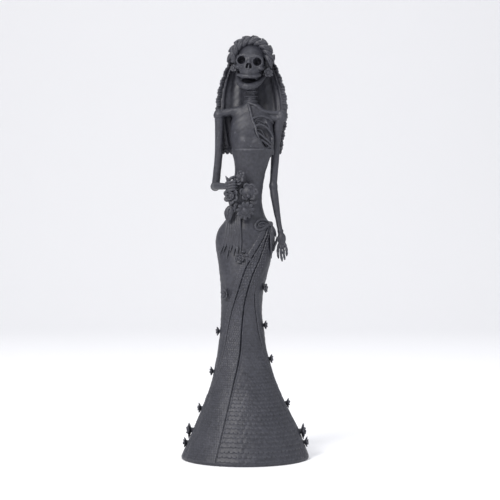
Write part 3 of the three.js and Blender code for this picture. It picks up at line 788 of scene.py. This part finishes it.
def veil():
    """A sheet bowed round the back of the head and shoulders, with ruffled lace along its edges."""
    coarse = 1
    rows, columns = 178 // coarse, 150 // coarse
    u = np.linspace(-1, 1, columns)[None, :]
    v = np.linspace(0, 1, rows)[:, None]
    u, v = np.broadcast_arrays(np.sign(u) * np.abs(u) ** 0.9, v)
    z = VEIL["foot"] + (VEIL["top"] - VEIL["foot"]) * v
    edge = np.minimum((1 - np.abs(u)) * 38, (z - VEIL["foot"]) * 1.1)  # mm in from the nearest edge
    lace = smooth(7, 5.4, edge)
    along = z + 3 * np.sign(u)
    tiers = np.abs(np.sin(pi * along / 9.2)) ** 0.7
    ruffle = lace * (0.9 * np.sin(2 * pi * z / 4.6 + 2 * u) + 0.5 * np.sin(2 * pi * z / 2.3 + 1))
    out_wave = 1.6 * tiers - 0.9 + 0.35 * np.sin(2 * pi * z / 2.9)
    granules = 0.4 * lace * bump(cells(edge / 2, z / 2, 21), 0.5)
    folds = 0.75 * np.cos(4 * pi * u) * (1 - u**4) + 0.35 * np.cos(9 * pi * u + z / 30) * (1 - lace)
    dip = -0.5 * np.exp(-(((edge - 6.6) / 0.8) ** 2))
    hang = 2.2 * np.abs(np.sin(u * 10 * pi / 2)) * smooth(6, 0, z - VEIL["foot"])

    def side(out, face):
        wide = through(VEIL_HALF_WIDTH, z) + out_wave * np.abs(u) ** 6 + out
        s = np.sin(u * VEIL["reach"]) / sin(VEIL["reach"])
        x = VEIL["x"] + wide * s
        y = through(VEIL_BACK, z) + out - through(VEIL_WRAP, z) * (1 - np.cos(u * VEIL["reach"]))
        y = y + face * (ruffle * 0.6 + granules + dip + 0.12 * lumps(x, y, z, 6, 23))
        return np.stack([x, y, z - hang], -1)

    pinch = np.minimum(1, 0.35 + edge / 3.5)
    half = VEIL["thick"] / 2 * pinch
    front = side(folds - half, -1).reshape(-1, 3)
    back = side(folds + half, 0.6).reshape(-1, 3)
    points = np.concatenate([front, back])
    total = rows * columns
    facing = quads(rows, columns)
    rim = np.concatenate([
        np.arange(columns),
        np.arange(1, rows) * columns + columns - 1,
        total - 2 - np.arange(columns - 1),
        np.arange(rows - 2, 0, -1) * columns,
    ])
    after = np.roll(rim, -1)
    wall = np.stack([after, rim, rim + total, after + total], 1)
    piece("veil", points, np.concatenate([facing, facing[:, ::-1] + total, wall]))


# ---- Arms and hands

def arms():
    form = Form((-36, -30, 180), (46, 18, 332), 0.4)
    form.add(rod([(-24.6, 1.6, 326), (-24.4, 2.4, 316), (-24.8, 4.5, 291), (-26.4, 7, 273), (-28, 8.5, 257)],
                 [4.3, 4.1, 3.9, 3.7, 3.7, 3.8], steps=14))
    form.add(ball((-28.4, 8.6, 257), (4.2, 4.3, 4)), 1)
    form.add(rod([(-28.6, 9, 257.2), (-26, -4, 257.4), (-15.6, -20.5, 256.6)], [3.9, 3.5, 3.2, 2.7], steps=8), 1)
    form.add(ball((-14.6, -21, 256.4), (3.6, 3.4, 4.6)), 1.5)
    for i in range(4):  # fingers closed round the stems
        z = 260.6 - 2.5 * i
        form.add(rod([(-17.4, -21.4, z - 0.6), (-14.6, -25.2, z), (-10.6, -25.6, z + 0.8), (-7.6, -23.6, z + 1)],
                     [1.2, 1.45, 1.15, 1.35, 0.9], steps=8), 0.2)
    form.add(rod([(-16.4, -20.6, 260.4), (-13.4, -22.6, 264), (-9.6, -22.4, 266)], [1.5, 1.3, 1.5, 1], steps=6), 0.3)

    form.add(rod([(34, 2, 325), (31.4, 3.4, 313), (29.4, 5, 298), (28.4, 5.8, 282), (27, 6.2, 262)],
                 [4.6, 4.4, 4.1, 4, 3.7, 3.6], steps=12), 0.5)
    form.add(ball((26.8, 6.2, 257.6), (4, 4.1, 5)), 1.2)
    form.add(rod([(26.8, 6.2, 258), (28.2, 4.6, 246), (31, 2, 228), (33.6, 0.4, 213)], [3.8, 3.8, 3.2, 2.5, 2.4], steps=10), 1)
    form.add(ball((33.6, 0.2, 215), (2.8, 2.4, 2.2)), 0.8)
    form.add(ball((34.6, -0.6, 207.5), (4.1, 2.2, 6)), 1.2)
    digits = (
        ((32, 209.6), (29.4, 205), (27.8, 200.4), (27, 196.4)),
        ((32.4, 203), (31.2, 198.4), (31, 194), (31.8, 189.4)),
        ((34, 202.4), (33.8, 197), (34.2, 191.4), (35, 186.6)),
        ((35.6, 202.6), (36.4, 197.4), (36.8, 192.4), (37.6, 188)),
        ((37.2, 203.6), (38.8, 199.4), (39.4, 195.4), (39.4, 191.6)),
    )
    for n, line in enumerate(digits):
        bend = (-0.6, -1.8, -2.2, -0.8)
        points = [(x, y + (0.6 * (n % 2)), z) for (x, z), y in zip(line, bend)]
        form.add(rod(points, [1.25, 1.5, 1.05, 1.4, 1.0, 1.2, 0.7], steps=12), 0.25)
        root, knuckle = np.array(points[0]), np.array(points[1])
        form.cut(rod([root + (1.1, -2.2, 4.4), root + (0.9, -2.4, 0)], [0.2, 0.5], steps=2), 0.5)
    points, faces = form.skin()
    x, y, z = points.T
    points += 0.14 * lumps(x, y, z, 8, 7)[:, None] * unit((0.8, -1, 0))
    piece("arms", points, faces)


# ---- The bouquet

def bouquet():
    form = Form((-28, -36, 186), (16, -2, 280), 0.38)
    form.add(ball((-6, -14, 247), (10, 7, 16)))
    blooms = (
        {"at": (-3.8, -20.5, 268.2), "radius": 3.6, "petals": 5, "turn": 0.4},
        {"at": (-6.8, -22.4, 262.6), "radius": 5.6, "petals": 5, "inner": 3, "turn": 0.1},
        {"at": (-12.6, -22, 248), "radius": 7.9, "petals": 6, "inner": 4, "turn": 0.6},
        {"at": (0, -23.6, 234.6), "radius": 8.8, "petals": 11, "turn": 0.2, "cup": 0.28},
    )
    for bloom in blooms:
        at = np.array(bloom["at"])
        facing = (at[0] + 5, -16, (at[2] - 248) * 0.4)
        extra = {k: v for k, v in bloom.items() if k not in ("at", "radius")}
        flower(form, at, facing, bloom["radius"], **extra)
    for i in range(26):  # the broad flower's rim of small pressed beads
        a = 2 * pi * i / 26
        form.add(ball((0 + 3.4 * cos(a), -25.4, 234.6 + 3.4 * sin(a)), 0.55), 0.15)

    rose = np.array([3.4, -21.4, 251.4])
    form.add(ball(rose + (0, 3, 0), (6.6, 5, 6.6)), 0.5)
    for angle, reach, size in ((110, 5.6, 3.3), (60, 5.4, 3.6), (5, 5.6, 3.4), (-55, 5.2, 3.2), (175, 5.6, 3.3), (235, 5.4, 3.2)):
        a = radians(angle)
        out = np.array([cos(a), 0, sin(a)])
        middle = rose + reach * out
        ring = [middle + size * 0.72 * np.array([cos(t), 0, sin(t)]) + (0, -0.25 * size * cos(t - a), 0)
                for t in np.linspace(a - 2.4, a + 2.4, 7)]
        form.add(ball(middle + (0, 0.9, 0), (size, 1.6, size)), 0.3)
        form.add(rod(ring, [0.55, 0.95, 1.05, 0.95, 0.55], steps=10), 0.2)
    form.add(ball(rose + (-0.4, -1.6, -3.4), (2.1, 2.1, 2.1)), 0.2)
    form.add(ball(rose + (0.6, -0.8, 1.4), (1.8, 1.8, 1.8)), 0.2)

    leaf(form, [(-11.5, -19, 238), (-15, -21, 233.5), (-15.6, -20, 224.4)], 4.4, 0.3, (-0.3, -1, 0))
    leaf(form, [(-9, -17, 258), (-14.5, -19, 261), (-18, -18.5, 266.5)], 2, 0.4)
    leaf(form, [(4, -19, 243), (8.5, -20, 241.5), (11.2, -18.6, 244.6)], 2, 0.4)
    leaf(form, [(-5, -19, 241), (-8.6, -22.4, 239.6), (-9.4, -21, 233)], 1.8, 0.4)

    stems = 7
    for i in range(stems):
        share = i / (stems - 1)
        foot = 193 + 3.6 * sin(i * 2.4)
        spread = -14 + 10 * share
        route = [
            on_front(spread * 0.92, 231, 3.2),
            on_front(-16.5 + 12 * share, 219, 1.9),
            on_front(-19 + 14.6 * share, 206, 1.4),
            on_front(-23 + 19 * share, foot, 1.1),
        ]
        facing = route[2] - np.array([0, 2.5, route[2][2]])
        form.add(rod(route, [1.1, 1.35, 1.6, 1.75, 0.5], 0.62, facing, steps=14), 0.12)
        groove = [p + unit(facing) * 1.05 for p in route[1:]]
        form.cut(rod(groove, [0.2, 0.4, 0.45, 0.2], steps=10), 0.2)
    for x, z in ((-1.5, 196), (1.5, 192.6), (4.2, 188.8), (-6, 192)):  # crumpled ribbon ends
        form.add(ball(on_front(x, z, 0.9), (1.9, 1.2, 1.4)), 0.5)
    points, faces = form.skin()
    piece("bouquet", points, faces)


# ---- The bow on the hip and the flowers down the skirt

def bow():
    form = Form((4, -28, 182), (40, 16, 236), 0.38)
    form.add(ball(on_front(22.6, 221.6, 1.3), (2.7, 2.7, 2.7)))
    loop = ((22, 222.6), (17, 225.6), (12.4, 225.2), (9.4, 221.6), (9.6, 218.2), (12.6, 216.2), (18, 218.4), (22, 221.2))
    form.add(rod([on_front(x, z, 1.2) for x, z in loop], [1.2, 1.15, 1.0, 1.0, 1.15, 1.3], 0.9, steps=26), 0.3)
    inner = ((20.5, 222), (15.6, 223.2), (12.4, 221.4), (14, 219), (20, 221))
    form.add(rod([on_front(x, z, 0.7) for x, z in inner], 0.65, steps=14), 0.3)
    tails = ((23.2, 23.8, 189.5, 1.5), (24.8, 26.6, 204, 1.6), (26.2, 28.6, 209, 1.5), (24.2, 24.6, 199, 1.2))
    for middle, end, low, wide in tails:
        route = [on_front(22.6, 221.8, 1.8), on_front(middle, (222 + low) / 2, 1.7), on_front(end, low, 1.2)]
        facing = route[1] - np.array([0, 2, route[1][2]])
        form.add(rod(route, [0.9, wide, 1.1 * wide, wide, 0.5], 0.6, facing, steps=12), 0.15)
        form.cut(rod([p + unit(facing) * 1.1 for p in route], [0.2, 0.45, 0.3], steps=8), 0.2)
    points, faces = form.skin()
    piece("bow", points, faces)


SIDE_FLOWERS = (
    {"bearing": -92, "z": 120, "radius": 4.4},
    {"bearing": -92, "z": 82, "radius": 4.4},
    {"bearing": -92, "z": 47, "radius": 4.8},
    {"bearing": -92, "z": 26, "radius": 6.4, "leaves": 3},
    {"bearing": -88, "z": 15, "radius": 4.8},
    {"bearing": 72, "z": 161.5, "radius": 4.6},
    {"bearing": 88, "z": 126, "radius": 4.4},
    {"bearing": 92, "z": 94, "radius": 4.4},
    {"bearing": 92, "z": 52, "radius": 4.6},
    {"bearing": 92, "z": 25, "radius": 6.4, "leaves": 3},
    {"bearing": 88, "z": 15, "radius": 4.8},
    {"bearing": -48, "z": 156, "radius": 4.8},
    {"bearing": -10, "z": 190, "radius": 4.6},
)


def skirt_flowers():
    """Each is modelled in its own small block of clay, and all are one piece."""
    points, faces, start = [], [], 0
    for i, item in enumerate(SIDE_FLOWERS):
        z, bearing, radius = item["z"], item["bearing"], item["radius"]
        foot, out = on_body(z, bearing, -0.4), on_body(z, bearing, 10)
        facing = unit(out - foot)
        centre = foot + facing * (0.5 * radius)
        room = radius * (2.2 if "leaves" in item else 1.5)
        form = Form(centre - room, centre + room, 0.36)
        flower(form, centre, facing, radius, petals=5, inner=3, turn=0.7 * i, cup=0.5)
        for n in range(item.get("leaves", 2)):
            u, v, w = frame_of(facing)
            a = radians(60 + 130 * n + 25 * i)
            side = cos(a) * u + sin(a) * v
            reach = radius * (1.35 if "leaves" in item else 1.1)
            leaf(form, [centre - w * 1.2, centre + side * reach * 0.6 + w * 0.6, centre + side * reach + w * 1.4],
                 0.34 * radius, 0.4, w, steps=6)
        p, f = form.skin()
        points.append(p)
        faces.append(f + start)
        start += len(p)
    piece("skirt_flowers", np.concatenate(points), np.concatenate(faces))


# ---- The stage, camera and light

def stage():
    """A pale floor that rises into a backdrop behind the figure."""
    radius, back, wide, high = 0.9, 1.5, 4.0, 3.2
    profile = [(-3.0, 0.0), (back, 0.0)]
    profile += [(back + radius * sin(a), radius - radius * cos(a)) for a in np.linspace(0.1, pi / 2, 12)]
    profile.append((back + radius, high))
    points = [(x, y, z) for y, z in profile for x in (-wide, wide)]
    faces = [(2 * i, 2 * i + 1, 2 * i + 3, 2 * i + 2) for i in range(len(profile) - 1)]
    mesh = bpy.data.meshes.new("floor")
    mesh.from_pydata(points, [], faces)
    for polygon in mesh.polygons:
        polygon.use_smooth = True
    material = bpy.data.materials.new("paper")
    material.use_nodes = True
    shader = material.node_tree.nodes["Principled BSDF"]
    shader.inputs["Base Color"].default_value = (0.9, 0.9, 0.91, 1)
    shader.inputs["Roughness"].default_value = 0.9
    mesh.materials.append(material)
    floor = bpy.data.objects.new("floor", mesh)
    bpy.context.scene.collection.objects.link(floor)


def aimed(data, place, aim):
    ob = bpy.data.objects.new(data.name, data)
    bpy.context.scene.collection.objects.link(ob)
    ob.location = place
    ob.rotation_euler = (Vector(aim) - Vector(place)).to_track_quat("-Z", "Y").to_euler()
    return ob


def camera():
    """Where the photograph was taken from: nearly level with the bouquet, 1.4 m away."""
    distance, elevation = 1.4, radians(1.5)
    photo_width, scale = 500, 1057  # pixels, and pixels to the metre at the figure
    aim = Vector((0.0047, 0, 0.197))
    data = bpy.data.cameras.new("camera")
    data.sensor_width = 36
    data.lens = data.sensor_width * distance / (photo_width / scale)
    place = aim + distance * Vector((0, -cos(elevation), sin(elevation)))
    bpy.context.scene.camera = aimed(data, place, aim)


def lights():
    """A broad soft key from the upper left, a weak fill from the right and light from above."""
    middle = (0, 0, 0.22)
    for name, place, size, power, colour in (
        ("key", (-0.9, -1.3, 1.25), 0.8, 34, (1, 0.98, 0.97)),
        ("fill", (1.5, -1.2, 0.5), 1.2, 7, (0.93, 0.95, 1)),
        ("top", (0.1, 0.5, 1.9), 1.2, 14, (0.97, 0.98, 1)),
    ):
        data = bpy.data.lights.new(name, "AREA")
        data.shape = "DISK"
        data.size = size
        data.energy = power
        data.color = colour
        aimed(data, place, middle)
    world = bpy.data.worlds.new("world")
    bpy.context.scene.world = world
    world.use_nodes = True
    sky = world.node_tree.nodes["Background"]
    sky.inputs["Color"].default_value = (0.95, 0.96, 1, 1)
    sky.inputs["Strength"].default_value = 0.6


camera()
dress()
bodice()
skull()
crown()
veil()
arms()
bouquet()
bow()
skirt_flowers()
stage()
lights()
bpy.context.scene.view_settings.view_transform = "Standard"
print("triangles", count_of, sum(count_of.values()))
